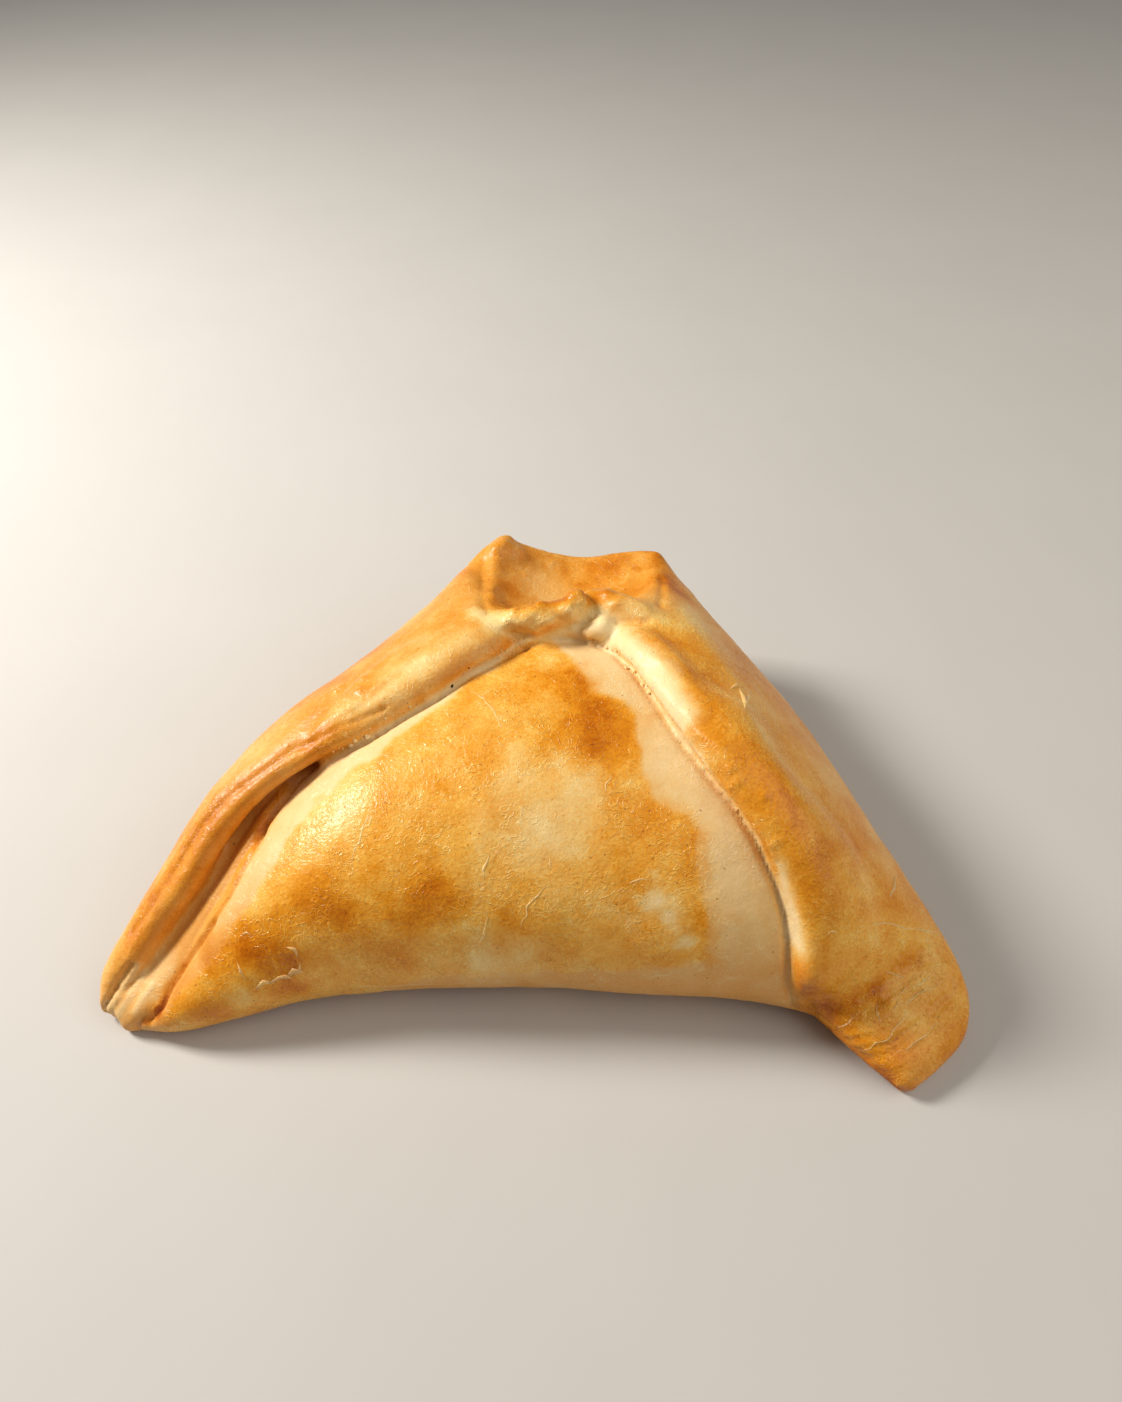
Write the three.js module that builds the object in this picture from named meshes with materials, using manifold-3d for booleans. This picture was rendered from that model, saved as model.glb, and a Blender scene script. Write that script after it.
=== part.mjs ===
// A baked empanada: a round of dough folded in half over its filling, with the curved edge
// turned in over the top as three flaps. Millimetres, +Z up. The straight fold faces -Y,
// the side flaps meet the back flap behind the belly, and the origin is under the middle.
import * as THREE from "three";
import { mergeVertices } from "three/addons/utils/BufferGeometryUtils.js";
import Module from "manifold-3d";

const wasm = await Module();
wasm.setup();

// Driving dimensions: each table runs along its piece, and the points of a column lie on one
// smooth guide.

// The filled belly, from the left tip to the right end: the front fold and the hidden back
// edge at their widest, and the crest between them.
const BELLY = [
  { front: [-73.5, -43.6, 2.5], back: [-72, -41.7, 2.5], crest: [-72.5, -42.7, 4] },
  { front: [-66, -45, 4.5], back: [-67, -35, 4], crest: [-66.3, -40.3, 9.5] },
  { front: [-54, -43, 7], back: [-63, -24, 6], crest: [-59.5, -34, 17] },
  { front: [-38, -39.6, 9], back: [-57, -12, 9], crest: [-48, -26, 27] },
  { front: [-20, -38.8, 11], back: [-42, 8, 12], crest: [-31, -14, 36.5] },
  { front: [0, -39, 12], back: [-16, 36, 14], crest: [-8, -2, 42] },
  { front: [18, -40.2, 12], back: [14, 46, 14], crest: [14, 2, 42] },
  { front: [36, -41, 11], back: [46, 24, 12], crest: [37, -8, 38] },
  { front: [48, -42, 8], back: [62, -6, 9], crest: [52, -22, 25] },
  { front: [55, -43, 4], back: [66, -30, 5], crest: [60, -36, 8] },
];

// The right flap, from the back corner to its tip: the foot of its lip on the belly, the top
// of that lip, and the shoulder where the sheet turns down outside.
const RIGHT_FLAP = [
  { foot: [12.5, 22.5, 38], lip: [15, 24, 43.5], shoulder: [30.5, 47.5, 35] },
  { foot: [20.3, 11.9, 40.5], lip: [23, 15, 45], shoulder: [38.5, 35.5, 31.5] },
  { foot: [25.5, 0, 40.5], lip: [28.5, 1.5, 45], shoulder: [49, 19, 29] },
  { foot: [33.4, -13.5, 38], lip: [35.5, -11.5, 43.3], shoulder: [58, 3.5, 25] },
  { foot: [41.5, -24, 31.5], lip: [43.5, -23.5, 37.5], shoulder: [67, -13, 19] },
  { foot: [46.3, -33, 19.5], lip: [49, -32.5, 27.5], shoulder: [75, -26.5, 13] },
  { foot: [49, -40.3, 8], lip: [52, -40, 17], shoulder: [80, -38.5, 8] },
  { foot: [54, -46.3, 3.5], lip: [57, -46, 10], shoulder: [78.5, -46, 5] },
  { foot: [60.5, -51.8, 2.2], lip: [62.5, -51.3, 6.5], shoulder: [72.5, -51.5, 4] },
  { foot: [65, -55.2, 1.8], lip: [65.8, -55, 3.8], shoulder: [67, -55.2, 2.8] },
];

// The left flap, from the back corner to the left tip: its shoulder, the top of its rolled
// edge, the edge itself, and how far the edge overhangs the hollow below it.
const LEFT_FLAP = [
  { shoulder: [-16, 47.5, 37.6], lip: [-8.5, 24, 42.5], edge: [-4.5, 19.5, 40], hollow: 0.5 },
  { shoulder: [-22.6, 37.8, 35.4], lip: [-14, 17.8, 43.5], edge: [-10.8, 13.8, 40.5], hollow: 0.5 },
  { shoulder: [-36, 24, 32.3], lip: [-25.7, 7.7, 41.3], edge: [-23, 4.5, 38.5], hollow: 1 },
  { shoulder: [-50, 11.5, 29.5], lip: [-38, 0.5, 38], edge: [-36, -3, 35], hollow: 2 },
  { shoulder: [-60, 0, 25.7], lip: [-49, -5.2, 34], edge: [-47.6, -8.4, 30.5], hollow: 2.5 },
  { shoulder: [-67, -9.5, 21], lip: [-58, -11.5, 29], edge: [-55.5, -13.5, 25.8], hollow: 3 },
  { shoulder: [-72.6, -20.1, 16], lip: [-65.2, -21, 22.3], edge: [-62, -22.2, 19.5], hollow: 3 },
  { shoulder: [-77.5, -29, 12], lip: [-71.5, -28.5, 16], edge: [-68.5, -30, 13.5], hollow: 2 },
  { shoulder: [-80.5, -35.5, 8.5], lip: [-76.5, -35, 10.8], edge: [-74, -36.3, 9], hollow: 1.5 },
  { shoulder: [-80.7, -41, 4.5], lip: [-79.5, -40.5, 6], edge: [-78.5, -41, 4.5], hollow: 0.5 },
];

// The lower layer of the left flap, which shows in the hollow and ends at the left tip: the
// middle of the strip with its half width and half height.
const INNER_LAYER = [
  { middle: [-46.9, -6.2, 22.5], half: [3, 4.5, 0] },
  { middle: [-51.2, -13.4, 21], half: [3.4, 4.5, 0] },
  { middle: [-57.2, -22.8, 15.7], half: [3.6, 4.5, 0] },
  { middle: [-64.6, -30.8, 9.6], half: [3.8, 4.2, 0] },
  { middle: [-70.6, -37.8, 5.4], half: [4, 3.8, 0] },
  { middle: [-74.8, -39.9, 3.6], half: [3.9, 3.1, 0] },
  { middle: [-77.6, -41, 2.2], half: [2.8, 2.1, 0] },
];

// The back flap, from its left corner to its right one: its front edge on the belly, the dip
// behind that, and the ridge of its fold, which stands up at both corners.
const BACK_FLAP = [
  { front: [-13, 24, 40], dip: [-14.5, 37, 37], ridge: [-16.2, 47, 37.6] },
  { front: [-8, 25, 41], dip: [-8, 40, 38], ridge: [-9, 53.5, 39.8] },
  { front: [-2, 25, 41], dip: [-1, 40, 35], ridge: [0, 55, 36] },
  { front: [8, 26, 41], dip: [9, 41, 33.5], ridge: [9.5, 54.7, 33.8] },
  { front: [17, 27, 41], dip: [18, 41, 34.5], ridge: [19, 54.5, 35.3] },
  { front: [23, 26, 41], dip: [25, 40, 36.5], ridge: [27, 52.5, 37] },
  { front: [27, 22, 40], dip: [29.5, 36, 36], ridge: [31.3, 46.8, 35] },
];

// The torn front edge of the back flap: a lumpy roll across the belly.
const TORN_EDGE = [
  { middle: [-9, 26, 40], half: [3, 3, 0] },
  { middle: [-4, 24, 40.5], half: [4, 3.4, 0] },
  { middle: [2, 24, 41], half: [4.2, 3.6, 0] },
  { middle: [8, 26, 41.5], half: [3.8, 3.8, 0] },
  { middle: [12, 28, 41.3], half: [2.6, 3.2, 0] },
];

// The fold beside it, which runs on under the right flap.
const FOLD_END = [
  { middle: [14, 26.6, 41], half: [2.4, 3, 0] },
  { middle: [17, 27.8, 41.2], half: [3.4, 3.6, 0] },
  { middle: [21, 26.8, 41], half: [3.4, 3.2, 0] },
  { middle: [26, 26, 39.5], half: [2.6, 2.4, 0] },
];

// The valley pressed across the end of the right flap: its line, depth and half width, and
// the heights between which it fades in.
const VALLEY = {
  line: [[53, -43.5], [61.5, -40.5], [67.5, -36.5], [71, -36]],
  depth: 2,
  reach: 3.5,
  from: 4,
  full: 8,
};

// The hollow under the left flap: the thickness of the edge below its guide, the height of
// the hollow, the least height of its floor as a share of its roof, and how far that floor
// runs on inside the belly.
const HOLLOW = { edge: 2, height: 4, leastFloor: 0.4, overlap: 5 };

// A rim bulges out and is widest at these shares of its shoulder's height. The slope is fall
// over run where a sheet passes the shoulder.
const RIM = { bulge: 0.12, widest: 0.45, slope: 1.1 };

// Above a height, the flaps' solids lean in under the belly by this much per millimetre.
const LEAN = { from: 15, slope: 0.8 };

const CROWN_SAG = 0.13; // of the right flap's fall, from a level sheet to its crown
const CROWN_REACH = 0.6; // of the left flap's width, the furthest that its crown sits inwards
const TUCK_REACH = 0.4; // of the belly's width, the widest that either tuck below it may be

// Lumps along the torn edge, and their size as a share of the strip's.
const LUMPS = { count: 3, share: 0.14 };
const NO_LUMPS = { count: 0, share: 0 };

// Where the pieces meet, points closer than this are joined.
const JOIN_GAP = 0.02;

// Steps along the pieces.
const STEPS = { belly: 48, sideFlap: 48, backFlap: 30, strip: 28, valley: 24 };

const CRUST = { color: 0xd9a05a, roughness: 0.5, metalness: 0 };

// Guides and sections

function guide(stations, name) {
  const points = stations.map((station) => new THREE.Vector3(...station[name]));
  return new THREE.CatmullRomCurve3(points, false, "centripetal");
}

// A single number of the table, eased from station to station.
function valueAt(stations, name, u) {
  const place = u * (stations.length - 1);
  const low = Math.min(Math.floor(place), stations.length - 2);
  const share = THREE.MathUtils.smoothstep(place - low, 0, 1);
  return THREE.MathUtils.lerp(stations[low][name], stations[low + 1][name], share);
}

// The upright plane through two points: distances across it, and its points in space.
function uprightPlane(from, to) {
  const across = new THREE.Vector2(to.x - from.x, to.y - from.y).normalize();
  return {
    across: (p) => (p.x - from.x) * across.x + (p.y - from.y) * across.y,
    place: (p) => new THREE.Vector3(from.x + across.x * p.x, from.y + across.y * p.x, p.y),
  };
}

const point = (a, z) => new THREE.Vector2(a, z);
const line = (steps, start, end) => new THREE.LineCurve(start, end).getPoints(steps);
const bend = (steps, start, control, end) =>
  new THREE.QuadraticBezierCurve(start, control, end).getPoints(steps);
const arc = (steps, middle, wide, high, fromDegrees, toDegrees) =>
  new THREE.EllipseCurve(
    middle.x,
    middle.y,
    wide,
    high,
    THREE.MathUtils.degToRad(fromDegrees),
    THREE.MathUtils.degToRad(toDegrees),
    toDegrees < fromDegrees,
  ).getPoints(steps);

// Runs of points joined end to end into one closed section, each joint kept once.
const closedSection = (...runs) => runs.flatMap((run) => run.slice(0, -1));

const lean = (height) => LEAN.slope * Math.max(height - LEAN.from, 0);

// The rim of a flap, from its shoulder out and down to the board. Side is +1 or -1 across.
function rim(shoulder, side) {
  const bulge = RIM.bulge * shoulder.y;
  const widest = point(shoulder.x + side * bulge, RIM.widest * shoulder.y);
  const turn = point(widest.x, shoulder.y - RIM.slope * bulge);
  const under = point(widest.x - side * widest.y, widest.y);
  const [start, end] = side > 0 ? [0, -90] : [180, 270];
  const down = bend(5, shoulder, turn, widest);
  return [...down.slice(0, -1), ...arc(4, under, widest.y, widest.y, start, end)];
}

// Solids

// A closed solid through rings of equal length, its two ends closed by fans.
function loft(rings) {
  const count = rings[0].length;
  const centre = (ring) => ring.reduce((sum, p) => sum.add(p), new THREE.Vector3()).divideScalar(count);
  const points = [...rings.flat(), centre(rings[0]), centre(rings.at(-1))];
  const [startFan, endFan] = [points.length - 2, points.length - 1];
  const lastRing = (rings.length - 1) * count;
  const triangles = [];
  for (let j = 0; j < count; j++) {
    const next = (j + 1) % count;
    triangles.push([startFan, next, j], [endFan, lastRing + j, lastRing + next]);
    for (let row = 0; row < lastRing; row += count) {
      triangles.push([row + j, row + next, row + count + next]);
      triangles.push([row + j, row + count + next, row + count + j]);
    }
  }
  return solidFrom(points, triangles);
}

const signedVolume = (points, triangles) =>
  triangles.reduce((sum, [a, b, c]) => sum + points[a].dot(points[b].clone().cross(points[c])) / 6, 0);

function solidFrom(points, triangles) {
  const outward = signedVolume(points, triangles) > 0 ? triangles : triangles.map(([a, b, c]) => [a, c, b]);
  const geometry = new THREE.BufferGeometry().setFromPoints(points).setIndex(outward.flat());
  const merged = mergeVertices(geometry, 1e-3);
  return new wasm.Manifold(
    new wasm.Mesh({
      numProp: 3,
      vertProperties: merged.getAttribute("position").array,
      triVerts: new Uint32Array(merged.index.array),
    }),
  );
}

// A solid whose section at each of the steps along it comes from a function of u.
const sweep = (steps, sectionAt) =>
  loft(Array.from({ length: steps + 1 }, (_, k) => sectionAt(k / steps)));

// The filled belly: an arched section between the front fold and the back edge, tucked in
// below its widest line to stand on a flat base.
function belly() {
  const [front, back, crest] = ["front", "back", "crest"].map((name) => guide(BELLY, name));
  return sweep(STEPS.belly, (u) => {
    const [f, b, c] = [front.getPoint(u), back.getPoint(u), crest.getPoint(u)];
    const plane = uprightPlane(f, b);
    const [ridge, far] = [plane.across(c), plane.across(b)];
    const [frontTuck, backTuck] = [f.z, b.z].map((height) => Math.min(height, TUCK_REACH * far));
    return closedSection(
      arc(3, point(frontTuck, f.z), frontTuck, f.z, 270, 180),
      arc(13, point(ridge, f.z), ridge, c.z - f.z, 180, 90),
      arc(9, point(ridge, b.z), far - ridge, c.z - b.z, 90, 0),
      arc(3, point(far - backTuck, b.z), backTuck, b.z, 0, -90),
      line(1, point(far - backTuck, 0), point(frontTuck, 0)),
    ).map(plane.place);
  });
}

// A point of the right flap, lowered where the valley crosses its top.
const valley = new THREE.SplineCurve(VALLEY.line.map(([x, y]) => point(x, y))).getPoints(STEPS.valley);
function pressed(p) {
  const gap = Math.min(...valley.map((q) => Math.hypot(p.x - q.x, p.y - q.y)));
  const top = THREE.MathUtils.smoothstep(p.z, VALLEY.from, VALLEY.full);
  return p.setZ(p.z - VALLEY.depth * top * Math.exp(-((gap / VALLEY.reach) ** 2)));
}

// The right flap: a rounded lip standing on the belly, and a sheet that arches out and down
// from it to a rim on the board.
function rightFlap() {
  const [foot, lip, shoulder] = ["foot", "lip", "shoulder"].map((name) => guide(RIGHT_FLAP, name));
  return sweep(STEPS.sideFlap, (u) => {
    const [f, l, s] = [foot.getPoint(u), lip.getPoint(u), shoulder.getPoint(u)];
    const plane = uprightPlane(f, s);
    const nose = point(plane.across(l), (f.z + l.z) / 2);
    const outside = point(plane.across(s), s.z);
    const crown = point((nose.x + outside.x) / 2, l.z - CROWN_SAG * (l.z - s.z));
    const edge = rim(outside, 1);
    const keel = point(nose.x - lean(f.z), 0);
    return closedSection(
      line(1, keel, point(nose.x, f.z)),
      arc(8, nose, nose.x, (l.z - f.z) / 2, 270, 90),
      bend(10, point(nose.x, l.z), crown, outside),
      edge,
      line(1, edge.at(-1), keel),
    )
      .map(plane.place)
      .map(pressed);
  });
}

// The left flap: a rolled band whose edge stands clear of the belly over a hollow.
function leftFlap() {
  const [shoulder, lip, edge] = ["shoulder", "lip", "edge"].map((name) => guide(LEFT_FLAP, name));
  return sweep(STEPS.sideFlap, (u) => {
    const [s, l, e] = [shoulder.getPoint(u), lip.getPoint(u), edge.getPoint(u)];
    const plane = uprightPlane(s, e);
    const [top, tip] = [plane.across(l), plane.across(e)];
    const roof = e.z - HOLLOW.edge;
    const floor = Math.max(roof - HOLLOW.height, HOLLOW.leastFloor * roof);
    const wall = top - valueAt(LEFT_FLAP, "hollow", u);
    const inside = tip + HOLLOW.overlap;
    const outside = point(0, s.z);
    const crown = point(Math.min((l.z - s.z) / RIM.slope, CROWN_REACH * top), l.z);
    const keel = point(inside + lean(floor), 0);
    const board = rim(outside, -1).reverse();
    return closedSection(
      board,
      bend(7, outside, crown, point(top, l.z)),
      arc(7, point(top, (l.z + roof) / 2), tip - top, (l.z - roof) / 2, 90, -90),
      line(2, point(top, roof), point(wall, roof)),
      line(2, point(wall, roof), point(wall, floor)),
      line(2, point(wall, floor), point(inside, floor)),
      line(1, point(inside, floor), keel),
      line(1, keel, board[0]),
    ).map(plane.place);
  });
}

// The back flap: a sheet that dips behind its front edge and rises to the ridge of its fold.
function backFlap() {
  const [front, dip, ridge] = ["front", "dip", "ridge"].map((name) => guide(BACK_FLAP, name));
  return sweep(STEPS.backFlap, (u) => {
    const [f, d, r] = [front.getPoint(u), dip.getPoint(u), ridge.getPoint(u)];
    const plane = uprightPlane(f, r);
    const outside = point(plane.across(r), r.z);
    const sheet = new THREE.SplineCurve([point(0, f.z), point(plane.across(d), d.z), outside]);
    const edge = rim(outside, 1);
    const keel = point(-lean(f.z), 0);
    return closedSection(
      line(1, keel, point(0, f.z)),
      sheet.getPoints(10),
      edge,
      line(1, edge.at(-1), keel),
    ).map(plane.place);
  });
}

// A strip of dough with a rounded top along its middle line, solid down to the board.
function strip(stations, lumps) {
  const [middle, half] = ["middle", "half"].map((name) => guide(stations, name));
  return sweep(STEPS.strip, (u) => {
    const swell = 1 + lumps.share * Math.sin(2 * Math.PI * lumps.count * u);
    const [m, size, along] = [middle.getPoint(u), half.getPoint(u), middle.getTangent(u)];
    size.multiplyScalar(swell);
    const plane = uprightPlane(m, new THREE.Vector3(m.x - along.y, m.y + along.x, m.z));
    return closedSection(
      line(1, point(-size.x, 0), point(-size.x, m.z)),
      arc(9, point(0, m.z), size.x, size.y, 180, 0),
      line(1, point(size.x, m.z), point(size.x, 0)),
      line(1, point(size.x, 0), point(-size.x, 0)),
    ).map(plane.place);
  });
}

// Assembly

const pieces = [
  belly(),
  rightFlap(),
  leftFlap(),
  backFlap(),
  strip(INNER_LAYER, NO_LUMPS),
  strip(TORN_EDGE, LUMPS),
  strip(FOLD_END, NO_LUMPS),
];
const joined = pieces.reduce((sum, piece) => sum.add(piece));
const whole = joined.asOriginal().simplify(JOIN_GAP).getMesh();

const crust = new THREE.BufferGeometry()
  .setAttribute("position", new THREE.BufferAttribute(whole.vertProperties, whole.numProp))
  .setIndex(new THREE.BufferAttribute(whole.triVerts, 1));
crust.computeVertexNormals();
crust.computeBoundingBox();
const { x, y } = crust.boundingBox.getCenter(new THREE.Vector3());
crust.translate(-x, -y, 0);

const pastry = new THREE.Mesh(crust, new THREE.MeshStandardMaterial(CRUST));
pastry.name = "pastry";

const empanada = new THREE.Group();
empanada.add(pastry);

export default empanada;
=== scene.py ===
"""The looks of a baked empanada, dressed over its solid.

The dough is remeshed from the solid at a fine pitch and smoothed. Its lips, rolls and lumps are
laid on, its cracks, folds and blisters are moved into the mesh, and its browning is painted as mesh
attributes that the crust material reads, along with some painted shade and painted light on faces
that turn from or to the key light. A place is given as a pixel of the photograph and found on the
dough through the photograph's camera. Sizes and places are in millimetres, apart from those of the
lights and the floor, which are in metres.
"""

import math
from collections import namedtuple

import bmesh
import bpy
import numpy as np
from mathutils import Matrix, Vector, noise
from mathutils.bvhtree import BVHTree
from mathutils.kdtree import KDTree


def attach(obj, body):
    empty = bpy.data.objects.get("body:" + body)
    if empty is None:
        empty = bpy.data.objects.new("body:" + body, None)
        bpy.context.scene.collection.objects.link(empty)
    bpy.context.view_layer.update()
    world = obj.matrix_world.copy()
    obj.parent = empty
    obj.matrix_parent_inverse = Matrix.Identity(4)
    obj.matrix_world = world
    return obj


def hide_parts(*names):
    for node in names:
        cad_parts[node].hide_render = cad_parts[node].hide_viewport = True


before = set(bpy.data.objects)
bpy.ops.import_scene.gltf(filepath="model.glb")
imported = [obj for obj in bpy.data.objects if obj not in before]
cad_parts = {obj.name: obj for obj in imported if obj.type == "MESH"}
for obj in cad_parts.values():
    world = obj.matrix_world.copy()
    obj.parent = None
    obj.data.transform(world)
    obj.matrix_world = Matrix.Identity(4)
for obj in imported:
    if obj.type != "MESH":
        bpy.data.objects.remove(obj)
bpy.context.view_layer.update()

MM = 0.001
SEED = 7

# The photograph's camera
IMAGE_SIZE = (1122, 1402)
FOCAL_PIXELS = 1000.0
EYE = Vector((5.33, -125.05, 180.0)) * MM
PITCH_DOWN = math.radians(47.75)
SENSOR_MM = 36.0

# The mesh: the pitch of its quads before and after the folds are laid on, how it is smoothed, how its
# creases and seams are kept, and the heights below which points are put on the floor or held near it
BASE_PITCH = 0.8
MESH_PITCH = 0.62
BASE_ROUNDS = 20
MESH_ROUNDS = 5
SHARP_DEGREES = 34
CREASE_KEEP = 0.3
CREASE_NEAR = 0.5
CREASE_FAR = 2.6
SEAM_WIDTH = 0.6
SEAM_DEPTH = 0.8
BASE_SNAP = 0.3
BASE_CLEAR = 0.5
HELD_BELOW, FREE_ABOVE = 0.2, 2.5

# A line on the dough: its step in pixels, and how far the points about it have to face as it does
TRAIL_PIXELS = 8
FACING = (-0.2, 0.4)

# The unevenness of the whole dough: the pitch and height of its ripples
RIPPLES = [(17, 0.35), (7, 0.14), (2.6, 0.06), (1.3, 0.03)]

# Lines and spots of the photograph, in its pixels
LEFT_CRACK = [(385, 708), (360, 719), (337, 727), (315, 739), (288, 752), (268, 767), (252, 779),
              (227, 796), (208, 817), (197, 831), (183, 856), (167, 880), (148, 910), (131, 932)]
LEFT_FOLD = [(463, 639), (435, 657), (403, 678), (374, 703), (346, 718)]
LEFT_LIP = [(521, 643), (471, 668), (435, 693), (403, 711), (364, 736), (324, 754), (309, 763)]
LEFT_SHOULDER = [(470, 575), (425, 615), (360, 660), (300, 705), (255, 745), (215, 790), (185, 835),
                 (155, 885), (125, 930), (108, 965)]
LEFT_MIDDLE = [(470, 605), (420, 640), (360, 688), (310, 722), (260, 765), (220, 800), (190, 845),
               (160, 895), (135, 930), (118, 965)]
LEFT_BLISTER = [(334, 692), (348, 688), (368, 684)]
STRIP_FACE = [(280, 784), (264, 800), (250, 820), (238, 840), (227, 860), (218, 880), (206, 900), (193, 920),
              (178, 942), (158, 970), (140, 1000), (124, 1018)]
STRIP_CRACK = [(268, 823), (262, 837), (255, 848), (246, 864), (238, 881), (230, 897), (222, 908),
               (213, 922)]
STRIP_GAP = [(313, 764), (300, 776), (286, 794), (274, 812), (264, 828), (257, 841)]
TIP_GROOVE = [(130, 966), (118, 984), (103, 1009)]
TIP_RIDGES = [[(138, 966), (126, 981), (116, 996), (107, 1010)],
              [(146, 972), (136, 986), (127, 1000), (118, 1014)],
              [(152, 985), (143, 998), (134, 1012)]]
HOLLOW_EDGE = [(326, 757), (309, 767), (284, 787), (260, 808), (239, 831), (223, 856), (212, 872),
               (195, 897), (184, 916), (171, 935), (149, 957), (131, 981)]
INNER_FACE = [(470, 657), (445, 669), (420, 685), (385, 708), (350, 728)]
STRIP_FOOT = [(213, 922), (205, 934), (195, 949), (184, 966), (172, 985), (160, 1008), (148, 1022)]
RIGHT_FOOT = [(600, 640), (620, 650), (640, 668), (660, 697), (680, 730), (700, 755), (720, 780), (740, 803),
              (760, 835), (780, 880), (790, 915), (793, 940), (793, 975), (800, 1006)]
LEFT_ROLL = [(350, 727), (320, 746), (292, 766), (266, 783), (242, 804), (224, 828), (206, 852), (188, 882),
             (168, 908), (148, 936), (128, 965), (112, 990)]
RIGHT_RIM = [(780, 866), (789, 892), (796, 918), (800, 945)]
LIP_END = [(800, 972), (802, 988), (808, 1002)]
LIP_FACE = [(612, 634), (632, 645), (650, 662), (668, 690), (684, 716)]
RIGHT_BASE = [(across - 6, down + 3) for across, down in RIGHT_FOOT]
LEFT_BASE = [(across + 3, down + 5) for across, down in LEFT_LIP]
BELLY_TOP = [(524, 648), (545, 640), (575, 640), (594, 643)]
LIP_TAIL = [(668, 600), (700, 640), (740, 700), (775, 760), (810, 830), (845, 900), (870, 950)]
CRUMB_EDGE = [(598, 642), (616, 653), (635, 671), (653, 700)]
FLAP_BROWN = [(672, 640), (692, 668), (715, 705), (745, 752), (778, 802), (803, 850), (820, 900)]
RIGHT_BEADS = [(723, 752), (735, 772), (750, 800), (768, 818), (780, 832)]
RIGHT_OUTER = [(690, 620), (740, 690), (790, 765), (840, 850), (890, 930), (925, 985)]
END_VALLEY = [(812, 990), (832, 1012), (855, 1002), (874, 988), (898, 965), (920, 955)]
END_EDGE = [(810, 1008), (828, 1024), (853, 1047), (876, 1067), (891, 1080)]
END_STREAKS = [(840, 1040), (880, 1030), (915, 1005), (945, 985)]
END_FACE = [(836, 925), (868, 950), (905, 1000), (930, 1020)]
EAR_BLEND = [(466, 562), (474, 575), (482, 588), (490, 600), (496, 612)]
RIGHT_EAR_BLEND = [(672, 572), (660, 590), (648, 604), (660, 616), (690, 606)]
EAR_RIDGE = [(506, 540), (499, 553), (495, 567), (493, 583), (491, 598)]
EAR_TOP = [(486, 556), (497, 546), (512, 548), (528, 558)]
EAR_CREASE = [(484, 561), (483, 579), (483, 597), (487, 612)]
RIGHT_EAR_CREASE = [(662, 578), (662, 592), (661, 606)]
DISH_GRAIN = [(520, 560), (560, 575), (600, 575), (625, 575), (640, 570), (650, 575), (640, 590)]
RIGHT_EAR_FACE = [(668, 580), (676, 590), (686, 597)]
TORN_TOP = [(500, 606), (526, 609), (556, 602), (583, 594), (594, 597)]
TORN_BOTTOM = [(506, 632), (515, 635), (540, 637), (565, 630), (583, 623), (595, 616)]
TORN_END = [(476, 614), (488, 616), (496, 626)]
TORN_MIDDLE = [(498, 617), (518, 619), (536, 618), (555, 613), (576, 607), (594, 602), (605, 601)]
SECOND_FOLD = [(586, 600), (600, 600), (613, 603), (630, 608), (646, 613), (662, 619)]
FOLD_BLEND = [(596, 602), (604, 608), (616, 606)]
RIGHT_EAR_EDGE = [(654, 562), (660, 578), (661, 592), (659, 604)]
FOLD_FOOT = [(618, 622), (634, 621), (648, 622)]
TORN_INSIDE = [(580, 631), (590, 626), (600, 621), (611, 622)]

WASH_OUTLINE = [(548, 636), (573, 657), (591, 682), (603, 692), (628, 700), (641, 712), (637, 735),
                (643, 750), (646, 779), (661, 804), (690, 812), (698, 834), (701, 864), (705, 901),
                (709, 938), (708, 960), (690, 966), (640, 972), (560, 976), (430, 980), (330, 1010),
                (150, 1045), (160, 1010), (205, 965), (245, 905), (280, 850), (316, 800), (360, 762),
                (415, 722), (478, 674), (515, 645)]
WASH_EDGE = WASH_OUTLINE[9:16]
BELLY_OUTLINE = [(520, 640), (560, 634), (600, 640), (640, 668), (680, 730), (720, 780), (760, 835),
                 (790, 915), (795, 975), (802, 1012), (700, 1010), (500, 1000), (330, 1010),
                 (150, 1045), (140, 1030), (213, 922), (262, 837), (298, 776), (400, 715), (470, 668)]

# The top of a flap's lip in section: the way in from its foot, and the height over the dough there,
# then how deep its root is, and its least height over the floor
LIP_SECTION = [(-0.8, -1.5), (-0.3, 0.2), (0.2, 1.5), (1.2, 2.4), (3.0, 2.7), (6.0, 2.4), (11.0, 1.6),
               (16.0, 0.8), (21.0, -0.1), (24.0, -0.8)]
LIP_ROOT = -3.5
LIP_LOWEST = 0.4

# The shares of a lip's and a roll's length over which their ends swell to full height
LIP_TAPER = (-0.02, 0.10)
ROLL_TAPER = (-0.06, 0.12)

# The lips: a line, the side that the flap lies on, and how the section's width and height are scaled
# at shares of the line
LIPS = [(RIGHT_FOOT, 1, [(0.0, 0.3, 0.9), (0.12, 0.5, 1.1), (0.3, 1.1, 1.2), (1.0, 0.8, 1.7)]),
        (LEFT_LIP, -1, [(0.0, 1.0, 0.8), (1.0, 0.8, 0.6)])]

# Rolls: a line, the half width and half height at its start, those at its end, and the rise
ROLLS = [(LEFT_ROLL, (2.0, 2.5), (3.0, 3.0), 1.0), (TORN_MIDDLE, (3.2, 3.2), (3.0, 3.2), 2.2),
         (EAR_TOP, (2.4, 3.0), (2.4, 3.0), 1.2), (TORN_INSIDE, (2.6, 3.0), (2.8, 3.0), 1.7),
         (SECOND_FOLD, (3.2, 3.4), (1.8, 2.4), 2.9), (RIGHT_EAR_EDGE, (2.0, 2.5), (1.6, 2.5), 0.8)]

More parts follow.
